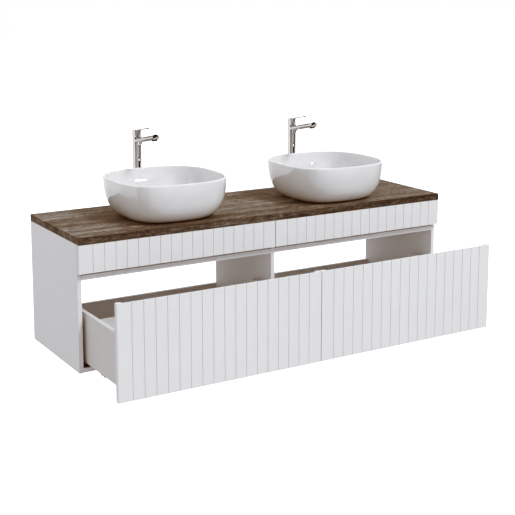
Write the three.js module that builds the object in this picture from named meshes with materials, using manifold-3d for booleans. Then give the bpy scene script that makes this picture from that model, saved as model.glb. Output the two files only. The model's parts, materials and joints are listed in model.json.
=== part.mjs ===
// Wall-hung double vanity: two vessel basins, two tall basin taps and two drawers.
// Millimetres. +X runs along the width, +Y points into the wall, +Z is up.
// The origin is the centre of the wall rail's back face, which lies on the wall.
import * as THREE from 'three';
import { mergeVertices } from 'three/addons/utils/BufferGeometryUtils.js';
import Module from 'manifold-3d';

const wasm = await Module();
wasm.setup();

// ---------------------------------------------------------------- driving dimensions
const WIDTH = 1600;
const DEPTH = 460;            // carcass, from the wall to its front edges
const HEIGHT = 466.5;         // carcass, from its underside to its top edges
const BOARD = 16;
const GAP = 0.3;              // between pieces that touch
const HALF = WIDTH / 2;
const INNER = HALF - BOARD;   // inside faces of the side panels
const RAIL_CENTRE = 380;      // height of the wall rail's centre above the carcass underside

const WORKTOP_THICK = 26;
const WORKTOP_Z = HEIGHT + GAP;
const WORKTOP_TOP = WORKTOP_Z + WORKTOP_THICK;
const FRONT_FACE = -DEPTH - 19.6;   // outer face of the shut fronts and of the worktop's front edge

const BOTTOM = [2, 18];             // bottom panel, low and high
const BACK_BOARD = [-20, -4];       // back boards, measured from the wall
const LOWER_BACK_TOP = 115;
const UPPER_BACK = [330, 424];
const CROSS_DEPTH = 80;             // depth of the front rails and of the top stretcher
const FRONT_RAIL = [336.5, 354.8];

// grooved fronts
const FRONT_SEAM = 1.5;             // from the centre line to the edge of each front
const UPPER_FRONT = [363.6, 466.3];
const UPPER_FRONT_THICK = 18.6;
const DRAWER_FRONT = [1.4, 338.8];
const DRAWER_FRONT_THICK = 18;
const GROOVES = 17;
const GROOVE_PITCH = 43.4;
const GROOVE_WIDTH = 4;
const GROOVE_DEPTH = 2.5;
const PULL_END = 20;                // the finger pull stops this far from each end
const PULL_LAND = 5;                // thickness left at the top edge
const PULL_DROP = 14;

// drawer boxes
const DRAWER_OUT = 314;             // how far the drawers stand out at rest
const DRAWER_GAP = 12;              // from the carcass to the drawer's sides
const DRAWER_REAR = -360;
const DRAWER_SIDE = [33.7, 216.5];
const DRAWER_BASE = [46.7, 58.7];
const DRAWER_BACK_TOP = 155;

// runners, each measured sideways from the carcass wall that it is screwed to
const STEEL = 1.5;
const RUNNER_LENGTH = 400;
const RUNNER_SETBACK = 4;
const CABINET_RUNNER = { reach: 58, foot: BOTTOM[1] + GAP, top: 54 };
const MIDDLE_BAR = { from: 34, to: 50, low: 24.3, high: 43 };
const MIDDLE_LUG = { from: 14, low: 28.5, high: 33.2, length: 12, pitch: 22 };
const DRAWER_CHANNEL = { from: 30.5, to: 53.5, low: 34, high: 46.4 };
const CATCH = { from: 54.5, to: 94, low: 36, high: 46.4, length: 70 };

// basins
const BASIN_X = 366;
const BASIN_Y = -274;
const BASIN_HALF_WIDTH = 217;
const BASIN_HALF_DEPTH = 212;
const BASIN_HEIGHT = 151;
const BASIN_INSET = 80;             // how far the wall curves in from rim to foot
const BASIN_RIM = 9;
const BASIN_FLOOR = 16;
const BASIN_DRAIN = 13;             // floor height at the drain
const BASIN_HOLE = 22;
const BASIN_SQUARENESS = 2.8;       // exponent of the rounded-square outline
const BASIN_SEGMENTS = 56;
const BASIN_Z = WORKTOP_TOP + GAP;

// wastes
const WASTE_TUBE = 19;
const WASTE_BORE = 16;
const WASTE_FLANGE = 31;
const WASTE_FLANGE_THICK = 3;
const WASTE_END = 412;
const WASTE_NUT = { radius: 30, low: 453, high: 466.2 };
const WASTE_BRIDGE = { width: 6, drop: 11, height: 5 };   // the bar that the plug presses on
const PLUG_CAP = 30;
const PLUG_STEM = 4;
const PLUG_LIFT = 8.5;              // the plug stands this far above its seat

// taps
const TAP_X = 363;
const TAP_Y = -26;
const TAP_RADIUS = 18;
const TAP_JOINT = 268;              // top of the body above the worktop
const TAP_FOOT = 24;
const TAP_SHANK = 14;
const TAP_SHANK_LENGTH = 62;
const TAP_BORE = 15.2;
const TAP_BORE_DEPTH = 28;
const SPOUT_REACH = 172;
const SPOUT_RISE = THREE.MathUtils.degToRad(11.4);
const SPOUT_ROOT = { width: 31, height: 18 };
const SPOUT_TIP = { width: 28, height: 22 };
const SPOUT_AXIS_Z = 252;           // height of the spout's centre line at the tap's axis
const LEVER_REACH = 103;
const LEVER_THICK = 5;
const LEVER_RISE = THREE.MathUtils.degToRad(11);
const CAP_TOP = 296.5;              // at the tap's axis
const CAP_PIVOT = 280;
const CAP_RELIEF = THREE.MathUtils.degToRad(25);
const ROUND = 36;                   // segments round a tap or a waste

// ---------------------------------------------------------------- materials
const finish = (color, roughness, metalness = 0) =>
  new THREE.MeshStandardMaterial({ color, roughness, metalness });
const WHITE = finish(0xe9e9ea, 0.45);
const BOX_WHITE = finish(0xdcdcdc, 0.55);
const OAK = finish(0x6b5443, 0.6);
const CERAMIC = finish(0xf4f4f5, 0.08);
const CHROME = finish(0xd8dadc, 0.06, 1);
const ZINC = finish(0x8d9092, 0.35, 1);
const BLACK = finish(0x2b2724, 0.6);

const vanity = new THREE.Group();
vanity.position.z = -RAIL_CENTRE;

// ---------------------------------------------------------------- shape helpers
function place(name, geometry, material, x = 0, y = 0, z = 0) {
  const mesh = new THREE.Mesh(geometry, material);
  mesh.name = name;
  mesh.position.set(x, y, z);
  vanity.add(mesh);
  return mesh;
}

function boxGeometry(xs, ys, zs) {
  const [x0, x1] = xs[0] < xs[1] ? xs : [xs[1], xs[0]];
  const geometry = new THREE.BoxGeometry(x1 - x0, ys[1] - ys[0], zs[1] - zs[0]);
  return geometry.translate((x0 + x1) / 2, (ys[0] + ys[1]) / 2, (zs[0] + zs[1]) / 2);
}

function board(name, material, xs, ys, zs) {
  return place(name, boxGeometry(xs, ys, zs), material);
}

function solid(geometry) {
  const bare = geometry.clone();
  bare.deleteAttribute('normal');
  bare.deleteAttribute('uv');
  const merged = mergeVertices(bare, 1e-4);
  return new wasm.Manifold(new wasm.Mesh({
    numProp: 3,
    vertProperties: new Float32Array(merged.attributes.position.array),
    triVerts: new Uint32Array(merged.index.array),
  }));
}

function geometryOf(body) {
  const mesh = body.getMesh();
  const geometry = new THREE.BufferGeometry();
  geometry.setAttribute('position', new THREE.BufferAttribute(mesh.vertProperties, 3));
  geometry.setIndex(new THREE.BufferAttribute(mesh.triVerts, 1));
  geometry.computeVertexNormals();
  return geometry;
}

function polygon(points) {
  return new THREE.Shape(points.map(([u, v]) => new THREE.Vector2(u, v)));
}

// An outline drawn in X and Z, extruded along Y from y0 to y1.
function alongY(points, y0, y1) {
  const geometry = new THREE.ExtrudeGeometry(polygon(points), { depth: y1 - y0, bevelEnabled: false });
  return geometry.rotateX(Math.PI / 2).translate(0, y1, 0);
}

// An outline drawn in Y and Z, extruded along X from x0 to x1.
function alongX(points, x0, x1) {
  const geometry = new THREE.ExtrudeGeometry(polygon(points), { depth: x1 - x0, bevelEnabled: false });
  return geometry.rotateZ(Math.PI / 2).rotateY(Math.PI / 2).translate(x0, 0, 0);
}

// A profile of [radius, z] points turned about the Z axis.
function turned(profile, segments = ROUND) {
  const points = profile.map(([r, z]) => new THREE.Vector2(r, z));
  return new THREE.LatheGeometry(points, segments).rotateX(Math.PI / 2);
}

function rod(radius, z0, z1, segments = ROUND) {
  const geometry = new THREE.CylinderGeometry(radius, radius, z1 - z0, segments);
  return geometry.rotateX(Math.PI / 2).translate(0, 0, (z0 + z1) / 2);
}

// ---------------------------------------------------------------- carcass
function carcass() {
  board('left_side_panel', WHITE, [-HALF, -INNER], [-DEPTH, 0], [0, HEIGHT]);
  board('right_side_panel', WHITE, [INNER, HALF], [-DEPTH, 0], [0, HEIGHT]);
  board('bottom_panel', WHITE, [-INNER + GAP, INNER - GAP], [-DEPTH, 0], BOTTOM);
  board('lower_back_panel', WHITE, [-INNER + GAP, INNER - GAP], BACK_BOARD, [BOTTOM[1] + GAP, LOWER_BACK_TOP]);

  const stretcher = [HEIGHT - BOARD, HEIGHT];
  board('top_stretcher', WHITE, [-INNER + GAP, INNER - GAP], [-DEPTH + 1, -DEPTH + CROSS_DEPTH], stretcher);

  const notch = { y: -DEPTH + CROSS_DEPTH + GAP, z: stretcher[0] - GAP };
  const rear = BACK_BOARD[0] - GAP;
  const outline = [
    [-DEPTH, BOTTOM[1] + GAP], [rear, BOTTOM[1] + GAP], [rear, HEIGHT],
    [notch.y, HEIGHT], [notch.y, notch.z], [-DEPTH, notch.z],
  ];
  place('centre_divider', alongX(outline, -BOARD / 2, BOARD / 2), WHITE);
}

function worktop() {
  let slab = solid(boxGeometry([-HALF, HALF], [FRONT_FACE, 0], [WORKTOP_Z, WORKTOP_TOP]));
  for (const side of [-1, 1]) {
    const drill = (radius, x, y) => solid(rod(radius, WORKTOP_Z - 1, WORKTOP_TOP + 1).translate(side * x, y, 0));
    slab = slab.subtract(drill(23, BASIN_X, BASIN_Y));
    slab = slab.subtract(drill(17, TAP_X, TAP_Y));
  }
  place('worktop', geometryOf(slab), OAK);
}

// ---------------------------------------------------------------- wall fixing
const HOOK = { from: 8, width: 20, arm: [408.6, 411.6], tip: 400.6 };

function upperBack() {
  let rail = solid(boxGeometry([-INNER + GAP, INNER - GAP], BACK_BOARD, UPPER_BACK));
  for (const side of [-1, 1]) {
    const wall = side * INNER;
    const slotXs = [wall - side * (HOOK.from - 2), wall - side * (HOOK.from + HOOK.width + 2)];
    const slotYs = [BACK_BOARD[0] - 1, BACK_BOARD[1] + 1];
    rail = rail.subtract(solid(boxGeometry(slotXs, slotYs, [HOOK.arm[0] - 3, HOOK.arm[1] + 3])));
  }
  place('upper_back_rail', geometryOf(rail), WHITE);
}

function wallRail() {
  const low = RAIL_CENTRE - 20;
  const bend = 394;
  const lip = 408;
  const jog = 2.1;
  const outline = [
    [0, low], [0, bend], [-jog, bend + 4], [-jog, lip],
    [-jog - STEEL, lip], [-jog - STEEL, bend + 3], [-STEEL, bend - 1], [-STEEL, low],
  ];
  place('wall_rail', alongX(outline, -INNER + 4, INNER - 4), ZINC);
}

function hanger(name, side) {
  const wall = side * INNER;
  const block = boxGeometry([wall - side * GAP, wall - side * 36], [-70, BACK_BOARD[0] - 0.4], [350, 440]);
  const reach = BACK_BOARD[0] - 2;
  const outline = [
    [reach, HOOK.arm[0]], [-1.7, HOOK.arm[0]], [-1.7, HOOK.tip],
    [-0.4, HOOK.tip], [-0.4, HOOK.arm[1]], [reach, HOOK.arm[1]],
  ];
  const near = wall - side * HOOK.from;
  const far = near - side * HOOK.width;
  const arm = alongX(outline, Math.min(near, far), Math.max(near, far));
  place(`${name}_hanger`, geometryOf(solid(block).add(solid(arm))), ZINC);
}

// ---------------------------------------------------------------- grooved fronts
// The outline of a grooved board seen from above: the grooves are cut in the outer face.
function groovedGeometry(x0, x1, thickness, zs) {
  const outer = FRONT_FACE;
  const inner = FRONT_FACE + thickness;
  const margin = (x1 - x0 - (GROOVES - 1) * GROOVE_PITCH) / 2;
  const points = [[x0, inner], [x0, outer]];
  for (let i = 0; i < GROOVES; i++) {
    const middle = x0 + margin + i * GROOVE_PITCH;
    points.push([middle - GROOVE_WIDTH / 2, outer]);
    points.push([middle, outer + GROOVE_DEPTH]);
    points.push([middle + GROOVE_WIDTH / 2, outer]);
  }
  points.push([x1, outer], [x1, inner]);
  const geometry = new THREE.ExtrudeGeometry(polygon(points), { depth: zs[1] - zs[0], bevelEnabled: false });
  return geometry.translate(0, 0, zs[0]);
}

function frontSpan(side) {
  return side < 0 ? [-HALF, -FRONT_SEAM] : [FRONT_SEAM, HALF];
}

function upperFront(name, side) {
  const [x0, x1] = frontSpan(side);
  place(`${name}_upper_front`, groovedGeometry(x0, x1, UPPER_FRONT_THICK, UPPER_FRONT), WHITE);
}

function drawerFront(name, side) {
  const [x0, x1] = frontSpan(side);
  const panel = solid(groovedGeometry(x0, x1, DRAWER_FRONT_THICK, DRAWER_FRONT));
  const top = DRAWER_FRONT[1];
  const land = FRONT_FACE + PULL_LAND;
  const rear = FRONT_FACE + DRAWER_FRONT_THICK;
  const wedge = [[land, top + 1], [land, top], [rear, top - PULL_DROP], [rear + 1, top - PULL_DROP], [rear + 1, top + 1]];
  const pull = solid(alongX(wedge, x0 + PULL_END, x1 - PULL_END));
  place(`${name}_drawer_front`, geometryOf(panel.subtract(pull)), WHITE, 0, -DRAWER_OUT, 0);
}

// ---------------------------------------------------------------- bays and drawers
function bay(side) {
  return side < 0 ? [-INNER, -BOARD / 2] : [BOARD / 2, INNER];
}

function frontRail(name, side) {
  const [x0, x1] = bay(side);
  board(`${name}_front_rail`, WHITE, [x0 + GAP, x1 - GAP], [-DEPTH, -DEPTH + CROSS_DEPTH], FRONT_RAIL);
}

function drawerBox(name, side) {
  const [x0, x1] = bay(side).map((x, i) => x + (i ? -DRAWER_GAP : DRAWER_GAP));
  const front = FRONT_FACE + DRAWER_FRONT_THICK - DRAWER_OUT + GAP;
  const inside = [x0 + BOARD + GAP, x1 - BOARD - GAP];
  const ys = [front, DRAWER_REAR];
  board(`${name}_drawer_left_side`, BOX_WHITE, [x0, x0 + BOARD], ys, DRAWER_SIDE);
  board(`${name}_drawer_right_side`, BOX_WHITE, [x1 - BOARD, x1], ys, DRAWER_SIDE);
  board(`${name}_drawer_bottom`, BOX_WHITE, inside, ys, DRAWER_BASE);
  board(`${name}_drawer_back`, BOX_WHITE, inside, [DRAWER_REAR - BOARD, DRAWER_REAR],
    [DRAWER_BASE[1] + GAP, DRAWER_BACK_TOP]);
}

// One telescopic runner: a bracket on the carcass, a bar that travels half way, a channel under the drawer.
function runner(name, wall, inward) {
  const at = (offset) => wall + inward * offset;
  const outline = (points) => {
    const turnedRound = points.map(([offset, z]) => [at(offset), z]);
    return inward > 0 ? turnedRound : turnedRound.reverse();
  };
  const shut = -DEPTH + RUNNER_SETBACK;

  const { reach, foot, top } = CABINET_RUNNER;
  const bracket = outline([
    [GAP, foot], [reach, foot], [reach, foot + STEEL], [GAP + STEEL, foot + STEEL], [GAP + STEEL, top], [GAP, top],
  ]);
  place(`${name}_cabinet_runner`, alongY(bracket, shut, shut + RUNNER_LENGTH), ZINC);

  const bar = MIDDLE_BAR;
  const barFront = shut - DRAWER_OUT / 2;
  let middle = solid(boxGeometry([at(bar.from), at(bar.to)], [barFront, barFront + RUNNER_LENGTH], [bar.low, bar.high]));
  for (const step of [0, MIDDLE_LUG.pitch]) {
    const ys = [barFront + step, barFront + step + MIDDLE_LUG.length];
    const lug = boxGeometry([at(MIDDLE_LUG.from), at(bar.from + 1)], ys, [MIDDLE_LUG.low, MIDDLE_LUG.high]);
    middle = middle.add(solid(lug));
  }
  place(`${name}_middle_runner`, geometryOf(middle), ZINC);

  const { from, to, low, high } = DRAWER_CHANNEL;
  const channel = outline([
    [from, low], [from + STEEL, low], [from + STEEL, high - STEEL], [to - STEEL, high - STEEL],
    [to - STEEL, low], [to, low], [to, high], [from, high],
  ]);
  const channelFront = shut - DRAWER_OUT + 6;
  place(`${name}_drawer_runner`, alongY(channel, channelFront, DRAWER_REAR - 6), ZINC);

  const catchFront = FRONT_FACE + DRAWER_FRONT_THICK - DRAWER_OUT + 1;
  board(`${name}_catch`, BLACK, [at(CATCH.from), at(CATCH.to)],
    [catchFront, catchFront + CATCH.length], [CATCH.low, CATCH.high]);
}

// ---------------------------------------------------------------- basins
const quarter = (t) => 1 - Math.sqrt(1 - (1 - t) ** 2);

function bowlProfile() {
  const profile = [[BASIN_HOLE, 0]];
  const steps = 8;
  const outerTop = BASIN_HEIGHT - 4;
  for (let i = 0; i <= steps; i++) {
    const t = (i / steps) ** 1.6;
    profile.push([BASIN_HALF_WIDTH - BASIN_INSET * quarter(t), outerTop * t]);
  }
  const inner = BASIN_HALF_WIDTH - BASIN_RIM;
  profile.push([BASIN_HALF_WIDTH - 2, BASIN_HEIGHT], [inner + 2, BASIN_HEIGHT]);
  const rise = BASIN_HEIGHT - 4 - BASIN_FLOOR;
  for (let i = steps; i >= 0; i--) {
    const t = (i / steps) ** 1.6;
    profile.push([inner - BASIN_INSET * quarter(t), BASIN_FLOOR + rise * t]);
  }
  profile.push([WASTE_FLANGE + 6, BASIN_DRAIN + 1], [WASTE_FLANGE + 3, BASIN_DRAIN], [BASIN_HOLE, BASIN_DRAIN]);
  profile.push([BASIN_HOLE, 0]);
  return profile;
}

// Turns the round bowl into a rounded square; the middle round the drain stays circular.
function squareOff(geometry) {
  const position = geometry.attributes.position;
  for (let i = 0; i < position.count; i++) {
    const x = position.getX(i);
    const y = position.getY(i);
    const angle = Math.atan2(y, x);
    const radius = Math.hypot(x, y);
    const amount = THREE.MathUtils.smoothstep(radius, WASTE_FLANGE + 8, BASIN_HALF_WIDTH - BASIN_INSET);
    const power = 2 + amount * (BASIN_SQUARENESS - 2);
    const stretch = (Math.abs(Math.cos(angle)) ** power + Math.abs(Math.sin(angle)) ** power) ** (-1 / power);
    const deep = 1 + amount * (BASIN_HALF_DEPTH / BASIN_HALF_WIDTH - 1);
    position.setX(i, radius * stretch * Math.cos(angle));
    position.setY(i, radius * stretch * deep * Math.sin(angle));
  }
  return geometry;
}

function basin(name, side) {
  const x = side * BASIN_X;
  const bowl = squareOff(turned(bowlProfile(), BASIN_SEGMENTS));
  place(`${name}_basin`, bowl, CERAMIC, x, BASIN_Y, BASIN_Z);

  const seat = BASIN_Z + BASIN_DRAIN + GAP;
  const flangeTop = seat + WASTE_FLANGE_THICK;
  const tube = solid(turned([
    [WASTE_BORE, WASTE_END], [WASTE_TUBE, WASTE_END], [WASTE_TUBE, seat], [WASTE_FLANGE, seat],
    [WASTE_FLANGE, flangeTop - 1], [WASTE_FLANGE - 2, flangeTop], [WASTE_BORE + 4, flangeTop],
    [WASTE_BORE, flangeTop - 4], [WASTE_BORE, WASTE_END],
  ]));
  const bridgeTop = seat - WASTE_BRIDGE.drop;
  const halfBar = WASTE_BRIDGE.width / 2;
  const bridge = solid(boxGeometry([-WASTE_BORE - 1, WASTE_BORE + 1], [-halfBar, halfBar],
    [bridgeTop - WASTE_BRIDGE.height, bridgeTop]));
  place(`${name}_waste`, geometryOf(tube.add(bridge)), CHROME, x, BASIN_Y);

  const { radius, low, high } = WASTE_NUT;
  const nut = turned([
    [WASTE_TUBE + GAP, low], [radius - 3, low], [radius, low + 3], [radius, high - 2],
    [radius + 3, high], [WASTE_TUBE + GAP, high], [WASTE_TUBE + GAP, low],
  ], 6 * 5);
  place(`${name}_waste_nut`, nut, ZINC, x, BASIN_Y);

  const cap = flangeTop + PLUG_LIFT;
  const stemEnd = bridgeTop + PLUG_LIFT + GAP;
  const plug = turned([
    [0, stemEnd], [PLUG_STEM, stemEnd], [PLUG_STEM, cap - 1], [PLUG_CAP - 3, cap], [PLUG_CAP, cap + 2],
    [PLUG_CAP - 2, cap + 4], [PLUG_CAP * 0.6, cap + 5.4], [0, cap + 6],
  ]);
  place(`${name}_plug`, plug, CHROME, x, BASIN_Y);
}

// ---------------------------------------------------------------- taps
// The spout is a rounded bar that widens towards its tip, tilted up and reaching forward.
function spoutGeometry() {
  const section = new THREE.Shape().absellipse(0, 0, 0.5, 0.5, 0, 2 * Math.PI);
  const length = SPOUT_REACH / Math.cos(SPOUT_RISE);
  const bar = new THREE.ExtrudeGeometry(section, { depth: 1, steps: 1, curveSegments: 24, bevelEnabled: false });
  const position = bar.attributes.position;
  for (let i = 0; i < position.count; i++) {
    const t = position.getZ(i);
    position.setX(i, position.getX(i) * THREE.MathUtils.lerp(SPOUT_ROOT.width, SPOUT_TIP.width, t));
    position.setY(i, position.getY(i) * THREE.MathUtils.lerp(SPOUT_ROOT.height, SPOUT_TIP.height, t));
    position.setZ(i, length * t);
  }
  return bar.rotateX(Math.PI / 2 - SPOUT_RISE).translate(0, 0, SPOUT_AXIS_Z);
}

// A web with a hollow front edge that carries the spout's underside into the body.
function webGeometry() {
  const web = new THREE.Shape();
  web.moveTo(0, SPOUT_AXIS_Z - 24);
  web.lineTo(0, SPOUT_AXIS_Z);
  web.lineTo(-44, SPOUT_AXIS_Z + 4);
  web.quadraticCurveTo(-20, SPOUT_AXIS_Z - 6, -TAP_RADIUS + 1, SPOUT_AXIS_Z - 24);
  web.closePath();
  const width = 20;
  const geometry = new THREE.ExtrudeGeometry(web, { depth: width, curveSegments: 8, bevelEnabled: false });
  return geometry.rotateZ(Math.PI / 2).rotateY(Math.PI / 2).translate(-width / 2, 0, 0);
}

// Places a piece that is drawn along the spout's own axis onto the tilted spout.
function onSpout(geometry, reach) {
  const height = SPOUT_AXIS_Z + reach * Math.tan(SPOUT_RISE);
  return geometry.rotateX(-SPOUT_RISE).translate(0, -reach, height);
}

const AERATOR = { radius: 10.5, reach: 156, top: -8, low: -14.5 };

function tapBody() {
  const column = turned([
    [0, -TAP_SHANK_LENGTH], [TAP_SHANK, -TAP_SHANK_LENGTH], [TAP_SHANK, GAP], [TAP_FOOT, GAP],
    [TAP_FOOT, 4], [TAP_FOOT - 1.5, 5.5], [TAP_RADIUS, 5.5], [TAP_RADIUS, TAP_JOINT], [0, TAP_JOINT],
  ]);
  let body = solid(column).add(solid(spoutGeometry())).add(solid(webGeometry()));
  body = body.subtract(solid(rod(TAP_BORE, TAP_JOINT - TAP_BORE_DEPTH, TAP_JOINT + 20)));
  const pocket = onSpout(rod(AERATOR.radius + GAP, -30, AERATOR.top), AERATOR.reach);
  return geometryOf(body.subtract(solid(pocket)));
}

function aerator() {
  const { radius, top, low, reach } = AERATOR;
  const insert = turned([
    [0, low + 2.5], [radius - 2.5, low + 2.5], [radius - 2.5, low], [radius, low], [radius, top - GAP], [0, top - GAP],
  ], 24);
  return onSpout(insert, reach);
}

function cartridge() {
  const foot = TAP_JOINT - TAP_BORE_DEPTH + GAP;
  const shoulder = TAP_JOINT - 1;
  return turned([
    [0, foot], [TAP_BORE - GAP, foot], [TAP_BORE - GAP, shoulder], [7, shoulder], [7, CAP_PIVOT + 3], [0, CAP_PIVOT + 3],
  ], 24);
}

// Cap and flat lever in one. The skirt's rear is cut away so that the handle can tip back.
function handle() {
  const foot = TAP_JOINT + 0.4;
  const rise = Math.tan(LEVER_RISE);
  const top = (y) => CAP_TOP - y * rise;
  let cap = solid(rod(TAP_RADIUS, foot, CAP_TOP + 20));
  cap = cap.subtract(solid(alongX([[30, top(30)], [30, 400], [-30, 400], [-30, top(-30)]], -30, 30)));
  cap = cap.subtract(solid(rod(14.5, foot - 5, CAP_PIVOT + 8)));
  const relief = [[0, foot], [30, foot - 1], [30, foot + 30 * Math.tan(CAP_RELIEF)]];
  cap = cap.subtract(solid(alongX(relief, -30, 30)));

  const plan = polygon([
    [-11, 2], [-10.5, -LEVER_REACH * 0.55], [-9, -LEVER_REACH + 4], [-6, -LEVER_REACH],
    [6, -LEVER_REACH], [9, -LEVER_REACH + 4], [10.5, -LEVER_REACH * 0.55], [11, 2],
  ]);
  const lever = new THREE.ExtrudeGeometry(plan, { depth: LEVER_THICK, bevelEnabled: false });
  lever.translate(0, 0, -LEVER_THICK - 0.2).rotateX(-LEVER_RISE).translate(0, 0, CAP_TOP);
  return geometryOf(cap.add(solid(lever)));
}

function tap(name, side) {
  const x = side * TAP_X;
  place(`${name}_tap_body`, tapBody(), CHROME, x, TAP_Y, WORKTOP_TOP);
  place(`${name}_tap_aerator`, aerator(), BLACK, x, TAP_Y, WORKTOP_TOP);
  place(`${name}_tap_cartridge`, cartridge(), ZINC, x, TAP_Y, WORKTOP_TOP);
  place(`${name}_tap_handle`, handle(), CHROME, x, TAP_Y, WORKTOP_TOP);
  const bore = TAP_SHANK + GAP;
  const under = -WORKTOP_THICK - GAP;
  const nut = turned([
    [bore, under - 12], [18, under - 12], [18, under - 3], [21.5, under - 3], [21.5, under], [bore, under],
    [bore, under - 12],
  ], 6 * 5);
  place(`${name}_tap_nut`, nut, ZINC, x, TAP_Y, WORKTOP_TOP);
}

// ---------------------------------------------------------------- assembly
carcass();
worktop();
upperBack();
wallRail();
for (const [name, side] of [['left', -1], ['right', 1]]) {
  hanger(name, side);
  upperFront(name, side);
  frontRail(name, side);
  drawerFront(name, side);
  drawerBox(name, side);
  const [wallLeft, wallRight] = bay(side);
  runner(`${name}_drawer_left`, wallLeft, 1);
  runner(`${name}_drawer_right`, wallRight, -1);
  basin(name, side);
  tap(name, side);
}

export default vanity;
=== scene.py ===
import json
import math

import bmesh
import bpy
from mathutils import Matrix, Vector


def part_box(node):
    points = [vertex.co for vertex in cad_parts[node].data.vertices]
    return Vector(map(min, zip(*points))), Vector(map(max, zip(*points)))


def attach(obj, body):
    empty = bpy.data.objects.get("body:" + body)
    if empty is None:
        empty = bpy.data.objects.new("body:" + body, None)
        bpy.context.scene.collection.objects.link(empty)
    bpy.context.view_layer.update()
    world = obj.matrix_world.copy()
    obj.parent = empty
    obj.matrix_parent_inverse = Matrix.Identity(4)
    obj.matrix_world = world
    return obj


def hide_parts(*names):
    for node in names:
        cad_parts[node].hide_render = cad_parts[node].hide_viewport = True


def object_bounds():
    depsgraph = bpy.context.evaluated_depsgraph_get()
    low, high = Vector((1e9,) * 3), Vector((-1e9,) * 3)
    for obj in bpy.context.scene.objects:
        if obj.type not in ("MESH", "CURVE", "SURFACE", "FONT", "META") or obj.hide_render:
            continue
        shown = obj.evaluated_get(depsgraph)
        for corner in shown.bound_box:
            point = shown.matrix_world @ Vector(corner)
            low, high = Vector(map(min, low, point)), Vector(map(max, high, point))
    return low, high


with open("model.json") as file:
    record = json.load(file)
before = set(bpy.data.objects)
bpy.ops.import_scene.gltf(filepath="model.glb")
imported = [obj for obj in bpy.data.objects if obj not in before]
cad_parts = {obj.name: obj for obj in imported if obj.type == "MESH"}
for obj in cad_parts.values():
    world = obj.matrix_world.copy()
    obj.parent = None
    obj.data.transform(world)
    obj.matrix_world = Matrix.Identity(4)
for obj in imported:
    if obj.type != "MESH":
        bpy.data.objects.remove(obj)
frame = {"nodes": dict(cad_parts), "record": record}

CAD_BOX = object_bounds()  # before any piece is added
MM = 0.001

# ------------------------------------------------------------------ driving sizes
EDGE = 0.8 * MM            # rounding of a board's edges
EDGE_STEPS = 3
STEEL_EDGE = 0.3 * MM      # rounding of the runners' and the rail's edges
FRONT_GAP = 1.8 * MM       # the side panels stop this much further behind the fixed fronts
LUG_REACH = 19 * MM        # of the black lugs, from their outer ends nearly to the middle runner's bar
GROOVES = 17
GROOVE_PITCH = 43.4 * MM
GROOVE_WIDTH = 4 * MM
GROOVE_DEPTH = 2.5 * MM
GROOVE_EDGE = 0.45 * MM
PULL_END = 20 * MM         # the finger pull stops this far from each end of a drawer front
PULL_RUN_OUT = 4 * MM      # length over which it fades out at each end
PULL_LAND = 5 * MM         # thickness left at the top edge
PULL_DROP = 14 * MM        # how far it slopes down to the rear face

BOWL_RIM = 9 * MM          # width of the rim
BOWL_RIM_CROWN = 4 * MM    # height of its rounded top
BOWL_INSET = 80 * MM       # how far the wall curves in from rim to foot
BOWL_FLOOR = 16 * MM       # height of the floor at the foot of the wall
BOWL_DRAIN = 13 * MM       # height of the seat round the drain
BOWL_SQUARENESS = 2.8      # exponent of the rounded-square outline
BOWL_FULLNESS = 2.2        # exponent of the wall's curve, where 2 is a quarter of an ellipse
BOWL_STEPS = 144
WALL_STEPS = 26
DRAIN_RADIUS = 22 * MM
RECESS_RADIUS = 34 * MM    # of the dish that the waste flange sits in

RAIL_SLOTS = 16
SLOT_HALF = (9 * MM, 3 * MM)    # half the length and half the height of a slot
SLOT_ROUNDING = 2.9 * MM

# tap heights are above the worktop
TAP_RADIUS = 18 * MM
TAP_FOOT = 24 * MM         # radius of the base flange
TAP_SHANK = 14 * MM        # radius of the threaded shank
TAP_JOINT = 268 * MM       # top of the body, where the cap turns on it
WELL = (15.2 * MM, 28 * MM)     # radius and depth of the hole for the cartridge
SPOUT_HEIGHT = 252 * MM    # where the spout's middle line meets the tap's axis
SPOUT_REACH = 172 * MM
SPOUT_RISE = math.radians(11.4)
SPOUT_ROOT = (31 * MM, 18 * MM)    # width and thickness at the tap's axis
SPOUT_TIP = (28 * MM, 22 * MM)     # and at its end
AERATOR_REACH = 156 * MM
AERATOR_POCKET = 10.8 * MM # radius of the hole for the aerator
CAP_FOOT = 268.4 * MM
CAP_TOP = 296.5 * MM       # middle of the cap's sloping top
CAP_HOLLOW = (14.5 * MM, 288 * MM)    # radius and top of the hollow under the cap
CAP_RELIEF = math.radians(25)   # slope under the rear of the cap, so that the lever can lift
LEVER_RISE = math.radians(11)
LEVER_REACH = 103 * MM
LEVER_HALF_WIDTH = 11 * MM
LEVER_THICK = 5 * MM
TURN_STEPS = 64

FLOOR_DROP = 360 * MM      # from the underside of the carcass to the floor
FLOOR_GLOW = 0.90          # keeps the floor evenly pale in the picture
FLOOR_TONE = (0.50, 0.50, 0.50)    # what the floor gives back to the object
SKY_LOW = (0.79, 0.79, 0.80)       # the room's light from the sides
SKY_HIGH = (0.58, 0.58, 0.59)      # and from above
KEY_POWER = 3200
LEFT_POWER = 27
GLOSS_LIGHT = 1.45         # brightness of the screens that gloss sees
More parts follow.
